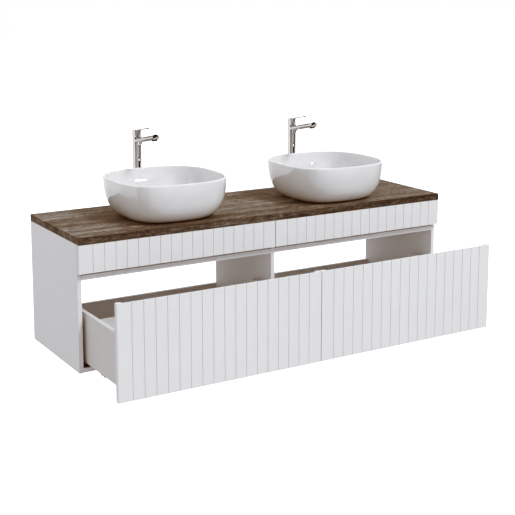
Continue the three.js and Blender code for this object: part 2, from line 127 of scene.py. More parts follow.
# Brightness of the screens round the object, from behind it by its left, front and right to behind again,
# at its own level and above it
SCREENS_LEVEL = [
    (0.00, 0.70), (0.20, 0.90), (0.262, 1.00), (0.270, 0.02), (0.375, 0.03), (0.390, 0.50), (0.475, 0.40),
    (0.485, 0.70), (0.515, 0.70), (0.525, 0.40), (0.60, 0.35), (0.615, 0.03), (0.80, 0.02), (0.82, 0.75),
    (1.00, 0.70),
]
SCREENS_ABOVE = [
    (0.00, 0.70), (0.265, 0.95), (0.275, 0.15), (0.40, 0.20), (0.42, 0.60), (0.51, 0.55), (0.525, 0.02),
    (0.64, 0.02), (0.66, 0.35), (0.82, 0.70), (1.00, 0.70),
]
SIDES = ("left", "right")

RECORD = frame["record"]
BODY_OF = {node: body for body, nodes in RECORD["behaviour"]["bodies"].items() for node in nodes}
SLOT_OF = {part["node"]: part["material_slot"] for part in RECORD["subparts"]}


# ------------------------------------------------------------------ modelling helpers
def alone(piece):
    """Selects one piece and nothing else, and makes it the active one."""
    bpy.ops.object.select_all(action="DESELECT")
    piece.select_set(True)
    bpy.context.view_layer.objects.active = piece


def settle(piece):
    """Puts a piece's place, turn and scale into its mesh."""
    alone(piece)
    bpy.ops.object.transform_apply(location=True, rotation=True, scale=True)


def editing(piece):
    """Opens a piece in edit mode with all of it selected."""
    alone(piece)
    bpy.ops.object.mode_set(mode="EDIT")
    bpy.ops.mesh.select_mode(type="VERT")
    bpy.ops.mesh.select_all(action="SELECT")


def done_editing():
    bpy.ops.object.mode_set(mode="OBJECT")


def pick(piece, wanted):
    """Selects, in edit mode, the vertices whose place passes the test."""
    mesh = bmesh.from_edit_mesh(piece.data)
    for vertex in mesh.verts:
        vertex.select = bool(wanted(vertex.co))
    mesh.select_flush_mode()
    bmesh.update_edit_mesh(piece.data)


def apply_modifiers(piece):
    alone(piece)
    for modifier in list(piece.modifiers):
        bpy.ops.object.modifier_apply(modifier=modifier.name)


def smooth(piece, angle=35):
    alone(piece)
    bpy.ops.object.shade_smooth_by_angle(angle=math.radians(angle))


def round_edges(piece, width, steps=2, angle=35):
    """Rounds every edge sharper than the angle, and keeps the flats between them flat."""
    alone(piece)
    bpy.ops.object.shade_smooth()
    bevel = piece.modifiers.new("rounding", "BEVEL")
    bevel.width = width
    bevel.segments = steps
    bevel.limit_method = "ANGLE"
    bevel.angle_limit = math.radians(angle)
    bevel.miter_outer = "MITER_ARC"
    flats = piece.modifiers.new("flats", "WEIGHTED_NORMAL")
    flats.mode = "FACE_AREA"
    flats.weight = 80
    apply_modifiers(piece)


def block(name, low, high):
    """A box between two corners, with its place in its mesh."""
    bpy.ops.object.select_all(action="DESELECT")
    bpy.ops.mesh.primitive_cube_add(size=1, location=(low + high) / 2, scale=high - low)
    piece = bpy.context.object
    piece.name = name
    settle(piece)
    return piece


def cut_across(place, normal):
    """Cuts a line round the piece that is open in edit mode, where a plane crosses it."""
    bpy.ops.mesh.select_all(action="SELECT")
    bpy.ops.mesh.bisect(plane_co=place, plane_no=normal)


def drawn_line(name, points):
    """Draws a line from point to point, and leaves it open in edit mode."""
    bpy.ops.object.select_all(action="DESELECT")
    bpy.ops.mesh.primitive_plane_add(size=MM, location=(0, 0, 0))
    piece = bpy.context.object
    piece.name = name
    editing(piece)
    bpy.ops.mesh.merge(type="CENTER")
    bpy.ops.transform.translate(value=points[0])
    for here, there in zip(points, points[1:]):
        bpy.ops.mesh.extrude_vertices_move(TRANSFORM_OT_translate={"value": there - here})
    bpy.ops.mesh.select_all(action="SELECT")
    return piece


def turned(name, profile, centre, steps=TURN_STEPS):
    """Turns a profile of (radius, height) points about an upright axis."""
    piece = drawn_line(name, [Vector((radius, 0, height)) for radius, height in profile])
    bpy.ops.mesh.spin(steps=steps, angle=2 * math.pi, center=(0, 0, 0), axis=(0, 0, 1))
    bpy.ops.mesh.select_all(action="SELECT")
    bpy.ops.mesh.remove_doubles(threshold=0.005 * MM)
    bpy.ops.mesh.normals_make_consistent(inside=False)
    done_editing()
    piece.location = centre
    settle(piece)
    return piece


def boring(radius, low, high, centre):
    """A plain upright round solid, for cutting a hole."""
    return turned("boring", [(0, low), (radius, low), (radius, high), (0, high)], centre)


def combine(piece, other, operation):
    """Joins another solid to a piece or cuts it away, and removes the other."""
    alone(piece)
    boolean = piece.modifiers.new("solid", "BOOLEAN")
    boolean.operation = operation
    boolean.solver = "EXACT"
    boolean.object = other
    apply_modifiers(piece)
    bpy.data.objects.remove(other, do_unlink=True)


def twin(piece, name, offset):
    """A copy with a mesh of its own, moved by an offset."""
    copy = piece.copy()
    copy.data = piece.data.copy()
    copy.name = name
    bpy.context.collection.objects.link(copy)
    copy.location = offset
    settle(copy)
    return copy


def refined(node, width, steps=2):
    """A fine copy of a CAD node: its triangles joined into flats and its edges rounded."""
    source = frame["nodes"][node]
    piece = bpy.data.objects.new(f"{node}_fine", source.data.copy())
    bpy.context.collection.objects.link(piece)
    piece.data.materials.clear()
    editing(piece)
    bpy.ops.mesh.remove_doubles(threshold=0.005 * MM)
    bpy.ops.mesh.dissolve_limited(angle_limit=math.radians(1))
    done_editing()
    round_edges(piece, width, steps)
    return piece


# ------------------------------------------------------------------ shader helpers
class Nodes:
    """Adds nodes to a node tree and links them by name."""

    def __init__(self, tree):
        self.tree = tree

    def add(self, kind, label=None, **settings):
        node = self.tree.nodes.new(kind)
        for key, value in settings.items():
            setattr(node, key, value)
        if label:
            node.label = label
        return node

    def link(self, source, target):
        self.tree.links.new(source, target)

    def noise(self, vector, scale, detail=4.0, roughness=0.55, distortion=0.0):
        node = self.add("ShaderNodeTexNoise")
        node.inputs["Scale"].default_value = scale
        node.inputs["Detail"].default_value = detail
        node.inputs["Roughness"].default_value = roughness
        node.inputs["Distortion"].default_value = distortion
        self.link(vector, node.inputs["Vector"])
        return node

    def stretched(self, vector, scale, location=(0, 0, 0)):
        node = self.add("ShaderNodeMapping")
        node.inputs["Scale"].default_value = scale
        node.inputs["Location"].default_value = location
        self.link(vector, node.inputs["Vector"])
        return node.outputs["Vector"]

    def ramp(self, factor, stops):
        """A colour ramp through stops of (position, grey or colour)."""
        node = self.add("ShaderNodeValToRGB")
        elements = node.color_ramp.elements
        elements[0].position, elements[1].position = stops[0][0], stops[-1][0]
        for position, colour in stops[1:-1]:
            elements.new(position)
        for element, (position, colour) in zip(elements, stops):
            element.color = (*colour, 1) if isinstance(colour, tuple) else (colour,) * 3 + (1,)
        self.link(factor, node.inputs["Fac"])
        return node.outputs["Color"]

    def math(self, operation, first, second):
        node = self.add("ShaderNodeMath", operation=operation)
        for socket, value in zip(node.inputs, (first, second)):
            if isinstance(value, (int, float)):
                socket.default_value = value
            else:
                self.link(value, socket)
        return node.outputs[0]

    def between(self, factor, low, high):
        """Maps a factor from 0..1 to low..high."""
        node = self.add("ShaderNodeMapRange")
        node.inputs["To Min"].default_value = low
        node.inputs["To Max"].default_value = high
        self.link(factor, node.inputs["Value"])
        return node.outputs["Result"]

    def mix(self, factor, first, second, blend="MIX"):
        node = self.add("ShaderNodeMix", data_type="RGBA", blend_type=blend)
        colours = [s for s in node.inputs if s.type == "RGBA"]
        for socket, value in ((node.inputs["Factor"], factor), (colours[0], first), (colours[1], second)):
            if isinstance(value, (int, float)):
                socket.default_value = value
            elif isinstance(value, tuple):
                socket.default_value = (*value, 1)
            else:
                self.link(value, socket)
        return [s for s in node.outputs if s.type == "RGBA"][0]


def new_group(name, inputs, outputs):
    """A shader node group with named float inputs and named outputs."""
    group = bpy.data.node_groups.new(name, "ShaderNodeTree")
    group.interface.new_socket("Vector", in_out="INPUT", socket_type="NodeSocketVector")
    for label, value in inputs.items():
        socket = group.interface.new_socket(label, in_out="INPUT", socket_type="NodeSocketFloat")
        socket.default_value = value
    for label, kind in outputs.items():
        group.interface.new_socket(label, in_out="OUTPUT", socket_type=kind)
    nodes = Nodes(group)
    return group, nodes, nodes.add("NodeGroupInput"), nodes.add("NodeGroupOutput")


def speckle_group():
    """Fine all-over unevenness: a height for bump and a slow value for colour and roughness."""
    group, nodes, given, out = new_group(
        "fine unevenness",
        {"Fine scale": 900.0, "Slow scale": 6.0},
        {"Height": "NodeSocketFloat", "Slow": "NodeSocketFloat"},
    )
    fine = nodes.noise(given.outputs["Vector"], 1.0, detail=2.0)
    nodes.link(given.outputs["Fine scale"], fine.inputs["Scale"])
    slow = nodes.noise(given.outputs["Vector"], 1.0, detail=3.0)
    nodes.link(given.outputs["Slow scale"], slow.inputs["Scale"])
    nodes.link(fine.outputs["Fac"], out.inputs["Height"])
    nodes.link(slow.outputs["Fac"], out.inputs["Slow"])
    return group


def handling_group():
    """Faint marks of wiping and handling: a mask of soft streaks and spots."""
    group, nodes, given, out = new_group(
        "handling marks", {"Scale": 14.0, "Amount": 1.0}, {"Mask": "NodeSocketFloat"}
    )
    cloud = nodes.noise(given.outputs["Vector"], 1.0, detail=5.0, roughness=0.65, distortion=0.6)
    nodes.link(given.outputs["Scale"], cloud.inputs["Scale"])
    spots = nodes.ramp(cloud.outputs["Fac"], [(0.45, 0.0), (0.75, 1.0)])
    amount = nodes.math("MULTIPLY", spots, given.outputs["Amount"])
    nodes.link(amount, out.inputs["Mask"])
    return group


def grain_group():
    """Wood grain that runs along X, bent round knots, in boards, with painted shade that darkens the wood
    steadily towards the right.
    """
    group, nodes, given, out = new_group(
        "oak grain",
        {"Bend": 0.03},
        {"Bands": "NodeSocketFloat", "Streaks": "NodeSocketFloat", "Pores": "NodeSocketFloat",
         "Cracks": "NodeSocketFloat", "Planks and shade": "NodeSocketFloat"},
    )
    vector = given.outputs["Vector"]
    slow = nodes.noise(nodes.stretched(vector, (2.2, 5.5, 5.5)), 1.0, detail=2.0)
    swing = nodes.math("MULTIPLY", nodes.math("SUBTRACT", slow.outputs["Fac"], 0.5), given.outputs["Bend"])
    shift = nodes.add("ShaderNodeCombineXYZ")
    nodes.link(swing, shift.inputs["Y"])
    nodes.link(swing, shift.inputs["Z"])
    bent = nodes.add("ShaderNodeVectorMath", operation="ADD")
    nodes.link(vector, bent.inputs[0])
    nodes.link(shift.outputs["Vector"], bent.inputs[1])
    bent = bent.outputs["Vector"]
    bands = nodes.noise(nodes.stretched(bent, (1.3, 21, 21)), 1.0, detail=5.0, roughness=0.62)
    fibres = nodes.stretched(bent, (24, 120, 120), (0.6, 0.2, 0.4))
    streaks = nodes.noise(fibres, 1.0, detail=7.0, roughness=0.85)
    pores = nodes.noise(nodes.stretched(bent, (55, 260, 260)), 1.0, detail=4.0, roughness=0.75)
    splits = nodes.stretched(bent, (7, 120, 120), (3.1, 0.4, 0.2))
    cracks = nodes.noise(splits, 1.0, detail=6.0, roughness=0.75)
    boards = nodes.stretched(vector, (1.1, 5.2, 0.01), (0.2, 0.9, 0))
    planks = nodes.noise(boards, 1.0, detail=1.0)
    nodes.link(bands.outputs["Fac"], out.inputs["Bands"])
    nodes.link(streaks.outputs["Fac"], out.inputs["Streaks"])
    nodes.link(pores.outputs["Fac"], out.inputs["Pores"])
    nodes.link(nodes.ramp(cracks.outputs["Fac"], [(0.56, 0.0), (0.70, 1.0)]), out.inputs["Cracks"])
    # Painted shade: a steady fall of the plank value along X, so that the wood darkens towards the
    # worktop's right end.
    along = nodes.add("ShaderNodeSeparateXYZ")
    nodes.link(vector, along.inputs[0])
    drift = nodes.math("MULTIPLY", along.outputs["X"], 0.085)
    nodes.link(nodes.math("SUBTRACT", planks.outputs["Fac"], drift), out.inputs["Planks and shade"])
    return group


SPECKLE = speckle_group()
HANDLING = handling_group()
GRAIN = grain_group()


def material(name, roughness, metallic=0.0, coat=0.0, coat_roughness=0.03, specular=0.5):
    """A material with a plain Principled shader, its node helper, its shader and Object coordinates."""
    made = bpy.data.materials.new(name)
    made.use_nodes = True
    nodes = Nodes(made.node_tree)
    shader = made.node_tree.nodes["Principled BSDF"]
    shader.inputs["Roughness"].default_value = roughness
    shader.inputs["Metallic"].default_value = metallic
    shader.inputs["Coat Weight"].default_value = coat
    shader.inputs["Coat Roughness"].default_value = coat_roughness
    shader.inputs["Specular IOR Level"].default_value = specular
    place = nodes.add("ShaderNodeTexCoord")
    return made, nodes, shader, place.outputs["Object"]


def use(nodes, group, vector, **values):
    node = nodes.add("ShaderNodeGroup")
    node.node_tree = group
    nodes.link(vector, node.inputs["Vector"])
    for label, value in values.items():
        node.inputs[label.replace("_", " ")].default_value = value
    return node


def bump(nodes, shader, height, strength, distance):
    node = nodes.add("ShaderNodeBump")
    node.inputs["Strength"].default_value = strength
    node.inputs["Distance"].default_value = distance
    nodes.link(height, node.inputs["Height"])
    nodes.link(node.outputs["Normal"], shader.inputs["Normal"])


# ------------------------------------------------------------------ materials
def painted_board(name, pale, shade, roughness, fine_scale, relief):
    """A board's even finish with a slow drift of tone and a fine skin."""
    made, nodes, shader, place = material(name, roughness[0])
    speckle = use(nodes, SPECKLE, place, Fine_scale=fine_scale, Slow_scale=3.0)
    marks = use(nodes, HANDLING, place, Scale=9.0, Amount=0.35)
    tone = nodes.mix(speckle.outputs["Slow"], shade, pale)
    nodes.link(nodes.mix(marks.outputs["Mask"], tone, shade), shader.inputs["Base Color"])
    rough = nodes.math("ADD", nodes.between(speckle.outputs["Slow"], *roughness),
                       nodes.math("MULTIPLY", marks.outputs["Mask"], -0.06))
    nodes.link(rough, shader.inputs["Roughness"])
    bump(nodes, shader, speckle.outputs["Height"], 0.25, relief)
    return made


def oak(name, darkening):
    """Rustic dark oak decor with a low sheen, its tones multiplied by a darkening; on the worktop's edges
    that darkening is painted shade.
    """
    made, nodes, shader, place = material(name, 0.6, specular=0.18)
    grain = use(nodes, GRAIN, place, Bend=0.045)
    tones = [(0.095, 0.079, 0.068), (0.170, 0.151, 0.136), (0.270, 0.244, 0.223), (0.36, 0.332, 0.309)]
    tones = [tuple(channel * share for channel, share in zip(tone, darkening)) for tone in tones]
    wood = nodes.ramp(grain.outputs["Bands"], list(zip((0.28, 0.44, 0.58, 0.76), tones)))
    plank_and_shade = nodes.ramp(grain.outputs["Planks and shade"], [(0.36, 0.74), (0.50, 0.98), (0.64, (1.24, 1.26, 1.30))])
    wood = nodes.mix(1.0, wood, plank_and_shade, "MULTIPLY")
    streaks = nodes.ramp(grain.outputs["Streaks"], [(0.38, 0.28), (0.50, 0.92), (0.61, 1.50)])
    wood = nodes.mix(1.0, wood, streaks, "MULTIPLY")
    pores = nodes.ramp(grain.outputs["Pores"], [(0.38, 0.50), (0.60, 1.22)])
    wood = nodes.mix(1.0, wood, pores, "MULTIPLY")
    wood = nodes.mix(grain.outputs["Cracks"], wood, (0.032, 0.022, 0.016))
    nodes.link(wood, shader.inputs["Base Color"])
    nodes.link(nodes.between(grain.outputs["Pores"], 0.75, 0.55), shader.inputs["Roughness"])
    raised = nodes.math("MULTIPLY", grain.outputs["Streaks"], 2.0)
    sunk = nodes.math("MULTIPLY", grain.outputs["Cracks"], 1.5)
    height = nodes.math("SUBTRACT", nodes.math("ADD", raised, grain.outputs["Pores"]), sunk)
    bump(nodes, shader, height, 0.5, 0.5 * MM)
    return made


def glaze():
    """White sanitary glaze: clear gloss over a faintly uneven white."""
    made, nodes, shader, place = material("ceramic", 0.10, coat=1.0, coat_roughness=0.02)
    speckle = use(nodes, SPECKLE, place, Fine_scale=45.0, Slow_scale=7.0)
    marks = use(nodes, HANDLING, place, Scale=16.0, Amount=0.2)
    nodes.link(nodes.mix(speckle.outputs["Slow"], (0.765, 0.765, 0.77), (0.80, 0.80, 0.805)),
               shader.inputs["Base Color"])
    nodes.link(nodes.between(marks.outputs["Mask"], 0.04, 0.10), shader.inputs["Roughness"])
    bump(nodes, shader, speckle.outputs["Height"], 0.03, 0.2 * MM)
    return made


def chrome():
    """Polished chrome with traces of wiping."""
    made, nodes, shader, place = material("chrome", 0.05, metallic=1.0)
    marks = use(nodes, HANDLING, place, Scale=38.0, Amount=1.0)
    nodes.link(nodes.mix(marks.outputs["Mask"], (0.575, 0.58, 0.585), (0.53, 0.535, 0.54)),
               shader.inputs["Base Color"])
    nodes.link(nodes.between(marks.outputs["Mask"], 0.02, 0.06), shader.inputs["Roughness"])
    return made


def zinc():
    """Zinc-plated steel with its cloudy crystals."""
    made, nodes, shader, place = material("zinc_steel", 0.35, metallic=1.0)
    crystals = nodes.add("ShaderNodeTexVoronoi")
    crystals.inputs["Scale"].default_value = 130.0
    nodes.link(place, crystals.inputs["Vector"])
    marks = use(nodes, HANDLING, place, Scale=30.0, Amount=1.0)
    tone = nodes.ramp(crystals.outputs["Color"], [(0.2, (0.34, 0.34, 0.35)), (0.8, (0.45, 0.455, 0.46))])
    nodes.link(nodes.mix(marks.outputs["Mask"], tone, (0.28, 0.28, 0.29)), shader.inputs["Base Color"])
    nodes.link(nodes.between(marks.outputs["Mask"], 0.28, 0.48), shader.inputs["Roughness"])
    return made


def black_plastic():
    """Moulded black plastic with a fine spark-eroded skin."""
    made, nodes, shader, place = material("black_plastic", 0.5)
    speckle = use(nodes, SPECKLE, place, Fine_scale=1600.0, Slow_scale=25.0)
    nodes.link(nodes.mix(speckle.outputs["Slow"], (0.018, 0.016, 0.014), (0.034, 0.030, 0.027)),
               shader.inputs["Base Color"])
    nodes.link(nodes.between(speckle.outputs["Height"], 0.42, 0.6), shader.inputs["Roughness"])
    bump(nodes, shader, speckle.outputs["Height"], 0.4, 0.1 * MM)
    return made


# A darker, bluer copy of the oak for the worktop's upright edges: painted shade on its front and ends.
OAK_EDGE_SHADE = oak("oak_edge_painted_shade", (0.66, 0.72, 0.78))
# A darker copy of the white lacquer for the flanks of the fronts' grooves: painted shade in the grooves.
GROOVE_SHADE = painted_board(
    "groove_painted_shade", (0.755, 0.75, 0.745), (0.71, 0.705, 0.70), (0.50, 0.60), 700.0, 0.05 * MM
)
FINISHES = {
    "white_board": painted_board(
        "white_lacquer", (0.80, 0.80, 0.81), (0.76, 0.76, 0.77), (0.40, 0.48), 700.0, 0.05 * MM
    ),
    "drawer_board": painted_board(
        "drawer_melamine", (0.70, 0.695, 0.69), (0.65, 0.645, 0.64), (0.50, 0.60), 420.0, 0.08 * MM
    ),
    "oak_decor": oak("oak_decor", (0.93, 0.93, 0.93)),
    "ceramic": glaze(),
    "chrome": chrome(),
    "zinc_steel": zinc(),
    "black_plastic": black_plastic(),
}


def stand_for(piece, node, second=None, where=None):
    """The piece takes a CAD node's place: its finish, its slot and its body.

    A second material goes on the faces that pass the test; on the fronts' grooves and the worktop's edges
    it is a darker copy that paints shade.
    """
    piece.data.materials.clear()
    piece.data.materials.append(FINISHES[SLOT_OF[node]])
    if second:
        piece.data.materials.append(second)
        for face in piece.data.polygons:
            face.material_index = int(where(face))
    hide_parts(node)
    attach(piece, BODY_OF[node])


def stand_for_both(piece, node, second=None, where=None):
    """The left-hand piece takes its CAD node's place, and a copy takes the right-hand one's."""
    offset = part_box(f"right_{node}")[0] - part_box(f"left_{node}")[0]
    other = twin(piece, f"right_{node}_fine", offset)
    stand_for(piece, f"left_{node}", second, where)
    stand_for(other, f"right_{node}", second, where)


# ------------------------------------------------------------------ boards
def plain_board(node, gap=0.0):
    """A board with rounded edges, its front edge set back by the gap."""
    low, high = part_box(node)
    piece = block(f"{node}_fine", low + Vector((0, gap, 0)), high)
    round_edges(piece, EDGE, EDGE_STEPS)
    stand_for(piece, node)


def carcass():
    for side in SIDES:
        plain_board(f"{side}_side_panel", gap=FRONT_GAP)
        plain_board(f"{side}_front_rail")
    for node in ("bottom_panel", "lower_back_panel", "top_stretcher"):
        plain_board(node)
    for node in ("centre_divider", "upper_back_rail"):
        stand_for(refined(node, EDGE, EDGE_STEPS), node)
    top = refined("worktop", 1.2 * MM, EDGE_STEPS)
    # The worktop's upright faces take the darker copy of the oak: painted shade.
    stand_for(top, "worktop", OAK_EDGE_SHADE, lambda face: abs(face.normal.z) < 0.3)


# ------------------------------------------------------------------ grooved fronts
def grooved(name, low, high):
    """A front board with V grooves cut down its outer face."""
    piece = block(name, low, high)
    editing(piece)
    margin = (high.x - low.x - (GROOVES - 1) * GROOVE_PITCH) / 2
    middles = [low.x + margin + i * GROOVE_PITCH for i in range(GROOVES)]
    for middle in middles:
        for side in (-0.5, 0, 0.5):
            cut_across((middle + side * GROOVE_WIDTH, 0, 0), (1, 0, 0))
    pick(piece, lambda place: place.y < low.y + EDGE and any(abs(place.x - m) < EDGE / 4 for m in middles))
    bpy.ops.transform.translate(value=(0, GROOVE_DEPTH, 0))
    done_editing()
    return piece


def finger_pull(piece, low, high):
    """Slopes the rear of the top edge away for fingertips, short of each end."""
    editing(piece)
    for side in (low.x + PULL_END, high.x - PULL_END):
        inward = math.copysign(PULL_RUN_OUT, (low.x + high.x) / 2 - side)
        cut_across((side, 0, 0), (1, 0, 0))
        cut_across((side + inward, 0, 0), (1, 0, 0))
    cut_across((0, low.y + PULL_LAND, 0), (0, 1, 0))
    first = low.x + PULL_END + PULL_RUN_OUT - EDGE / 4
    last = high.x - PULL_END - PULL_RUN_OUT + EDGE / 4
    rear, top = high.y - EDGE, high.z - EDGE
    pick(piece, lambda place: place.y > rear and place.z > top and first < place.x < last)
    bpy.ops.transform.translate(value=(0, 0, -PULL_DROP))
    done_editing()


def tidy_flats(piece):
    """Joins faces that lie in one plane."""
    editing(piece)
    bpy.ops.mesh.dissolve_limited(angle_limit=math.radians(0.5))
    done_editing()


def fronts():
    for kind in ("upper_front", "drawer_front"):
        low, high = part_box(f"left_{kind}")
        piece = grooved(f"left_{kind}_fine", low, high)
        if kind == "drawer_front":
            finger_pull(piece, low, high)
        tidy_flats(piece)
        round_edges(piece, GROOVE_EDGE, 2)

        # The grooves' flanks take the darker copy of the lacquer: painted shade in the grooves.
        def on_flank(face, front=low.y):
            inside = front + 0.2 * GROOVE_DEPTH < face.center.y < front + GROOVE_DEPTH
            return inside and 0.3 < abs(face.normal.x) < 0.95

        stand_for_both(piece, kind, GROOVE_SHADE, on_flank)


def drawer_boxes():
    for side in SIDES:
        for board in ("left_side", "right_side", "back", "bottom"):
            plain_board(f"{side}_drawer_{board}")


# ------------------------------------------------------------------ steel and plastic fittings
def fittings():
    edges = {"hanger": 0.5 * MM, "tap_cartridge": 0.4 * MM, "tap_nut": 0.4 * MM, "waste_nut": 0.6 * MM}
    for side in SIDES:
        for bay_side in ("left", "right"):
            for part in ("cabinet_runner", "drawer_runner"):
                node = f"{side}_drawer_{bay_side}_{part}"
                stand_for(refined(node, STEEL_EDGE), node)
            node = f"{side}_drawer_{bay_side}_middle_runner"
            low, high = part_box(node)
            lug_end = low.x if bay_side == "left" else high.x
            stand_for(refined(node, STEEL_EDGE), node, FINISHES["black_plastic"],
                      lambda face, end=lug_end: abs(face.center.x - end) < LUG_REACH)
            node = f"{side}_drawer_{bay_side}_catch"
            stand_for(refined(node, 1.5 * MM, 3), node)
        for part, edge in edges.items():
            stand_for(refined(f"{side}_{part}", edge), f"{side}_{part}")


def wall_rail():
    """The hanging rail, with a row of oblong screw slots."""
    node = "wall_rail"
    low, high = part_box(node)
    piece = refined(node, STEEL_EDGE)
    pitch = (high.x - low.x) / RAIL_SLOTS
    height = low.z + 0.4 * (high.z - low.z)
    reach = Vector((SLOT_HALF[0], high.y - low.y, SLOT_HALF[1]))
    for i in range(RAIL_SLOTS):
        middle = Vector((low.x + (i + 0.5) * pitch, (low.y + high.y) / 2, height))
        cutter = block("cutter", middle - reach, middle + reach)
        round_edges(cutter, SLOT_ROUNDING, 5)
        combine(piece, cutter, "DIFFERENCE")
    smooth(piece)
    stand_for(piece, node)


# ------------------------------------------------------------------ basins
def wall_curve(t):
    """How much of the inset is left at a share t of the height: a slightly full quarter round."""
    return 1 - (1 - (1 - t) ** BOWL_FULLNESS) ** (1 / BOWL_FULLNESS)


def bowl_profile(half_width, height):
    """The wall from the drain's underside, up the outside, over the rim and down to the drain."""
    shoulder = height - BOWL_RIM_CROWN
    shares = [(i / WALL_STEPS) ** 1.6 for i in range(WALL_STEPS + 1)]
    profile = [(DRAIN_RADIUS, 0.0)]
    profile += [(half_width - BOWL_INSET * wall_curve(t), shoulder * t) for t in shares]
    crown = 10
    middle = half_width - BOWL_RIM / 2
    for i in range(1, crown):
        turn = math.pi * i / crown
        profile.append((middle + BOWL_RIM / 2 * math.cos(turn), shoulder + BOWL_RIM_CROWN * math.sin(turn)))
    inner = half_width - BOWL_RIM
    rise = shoulder - BOWL_FLOOR
    profile += [(inner - BOWL_INSET * wall_curve(t), BOWL_FLOOR + rise * t) for t in reversed(shares)]
    dish = RECESS_RADIUS + 3 * MM
    floor_radius = inner - BOWL_INSET
    falls = 6
    drop = BOWL_FLOOR - BOWL_DRAIN - MM
    for i in range(1, falls):
        share = i / falls
        profile.append((floor_radius + (dish - floor_radius) * share, BOWL_FLOOR - drop * share ** 2))
    profile += [(dish, BOWL_DRAIN + MM), (RECESS_RADIUS, BOWL_DRAIN)]
    profile += [(DRAIN_RADIUS, BOWL_DRAIN), (DRAIN_RADIUS, 0.0)]
    return profile


def square_off(piece, half_width, half_depth):
    """Draws the round bowl out into a rounded square, and leaves the middle round."""
    start, full = RECESS_RADIUS + 5 * MM, half_width - BOWL_INSET
    for vertex in piece.data.vertices:
        x, y, z = vertex.co
        radius, angle = math.hypot(x, y), math.atan2(y, x)
        share = min(max((radius - start) / (full - start), 0), 1)
        amount = share * share * (3 - 2 * share)
        power = 2 + amount * (BOWL_SQUARENESS - 2)
        stretch = (abs(math.cos(angle)) ** power + abs(math.sin(angle)) ** power) ** (-1 / power)
        deep = 1 + amount * (half_depth / half_width - 1)
        vertex.co = (radius * stretch * math.cos(angle), radius * stretch * deep * math.sin(angle), z)


def basins():
    low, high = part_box("left_basin")
    half = (high - low) / 2
    foot = Vector(((low.x + high.x) / 2, (low.y + high.y) / 2, low.z))
    piece = turned("left_basin_fine", bowl_profile(half.x, high.z - low.z), Vector((0, 0, 0)), BOWL_STEPS)
    square_off(piece, half.x, half.y)
    smooth(piece, 50)
    piece.location = foot
    settle(piece)
    stand_for_both(piece, "basin")


def wastes():
    """The flanged waste with its bridge, and the domed click plug above it."""
    low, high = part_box("left_waste")
    centre = Vector(((low.x + high.x) / 2, (low.y + high.y) / 2, 0))
    flange, tube, bore = (high.x - low.x) / 2, 19 * MM, 16 * MM
    top, seat = high.z, high.z - 3 * MM
    waste = turned("left_waste_fine", [
        (bore, low.z), (tube, low.z), (tube, seat), (flange, seat), (flange, seat + 1.2 * MM),
        (flange - 0.6 * MM, seat + 2.3 * MM), (flange - 2 * MM, top), (bore + 4 * MM, top),
        (bore + 1.5 * MM, top - 1.2 * MM), (bore, top - 4 * MM), (bore, low.z),
    ], centre)
    bar_top = seat - 11 * MM
    bar = block("bar", centre + Vector((-bore - MM, -3 * MM, bar_top - 5 * MM)),
                centre + Vector((bore + MM, 3 * MM, bar_top)))
    combine(waste, bar, "UNION")
    smooth(waste)

    low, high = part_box("left_plug")
    radius, cap = (high.x - low.x) / 2, high.z - 6 * MM
    plug = turned("left_plug_fine", [
        (0, low.z), (3.4 * MM, low.z), (4 * MM, low.z + 0.6 * MM), (4 * MM, cap - MM),
        (radius - 3 * MM, cap), (radius - 0.5 * MM, cap + 1.2 * MM), (radius, cap + 2 * MM),
        (radius - 0.5 * MM, cap + 3 * MM), (radius - 2 * MM, cap + 4 * MM), (0.6 * radius, cap + 5.4 * MM),
        (0.3 * radius, cap + 5.9 * MM), (0, high.z),
    ], centre)
    smooth(plug, 50)
    stand_for_both(waste, "waste")
    stand_for_both(plug, "plug")


# ------------------------------------------------------------------ taps
def spout(centre, axis_height):
    """A rounded bar that rises and reaches forward from the tap's axis."""
    length = SPOUT_REACH / math.cos(SPOUT_RISE)
    root, tip = SPOUT_ROOT, SPOUT_TIP
    bpy.ops.object.select_all(action="DESELECT")
    bpy.ops.mesh.primitive_cylinder_add(
        vertices=48, radius=0.5, depth=length, end_fill_type="NGON",
        location=(0, 0, length / 2), scale=(root[0], root[1], 1),
    )
    piece = bpy.context.object
    settle(piece)
    editing(piece)
    pick(piece, lambda place: place.z > length - EDGE)
    bpy.ops.transform.resize(value=(tip[0] / root[0], tip[1] / root[1], 1), center_override=(0, 0, length))
    done_editing()
    piece.rotation_euler = (math.pi / 2 - SPOUT_RISE, 0, 0)
    piece.location = centre + Vector((0, 0, axis_height))
    settle(piece)
    return piece


def web(centre, axis_height):
    """The curved bracket that carries the spout's underside into the body."""
    steps = 10
    half = 10 * MM
    start, bend, end = (-44 * MM, 4 * MM), (-20 * MM, -6 * MM), (-17 * MM, -24 * MM)
    outline = []
    for i in range(steps + 1):
        t = i / steps
        y, z = ((1 - t) ** 2 * a + 2 * t * (1 - t) * b + t * t * c for a, b, c in zip(start, bend, end))
        outline.append(Vector((-half, y, z)))
    outline += [Vector((-half, 0, -24 * MM)), Vector((-half, 0, 4 * MM))]
    piece = drawn_line("web", outline)
    bpy.ops.mesh.edge_face_add()
    bpy.ops.mesh.extrude_region_move(TRANSFORM_OT_translate={"value": (2 * half, 0, 0)})
    bpy.ops.mesh.select_all(action="SELECT")
    bpy.ops.mesh.normals_make_consistent(inside=False)
    done_editing()
    piece.location = centre + Vector((0, 0, axis_height))
    settle(piece)
    return piece


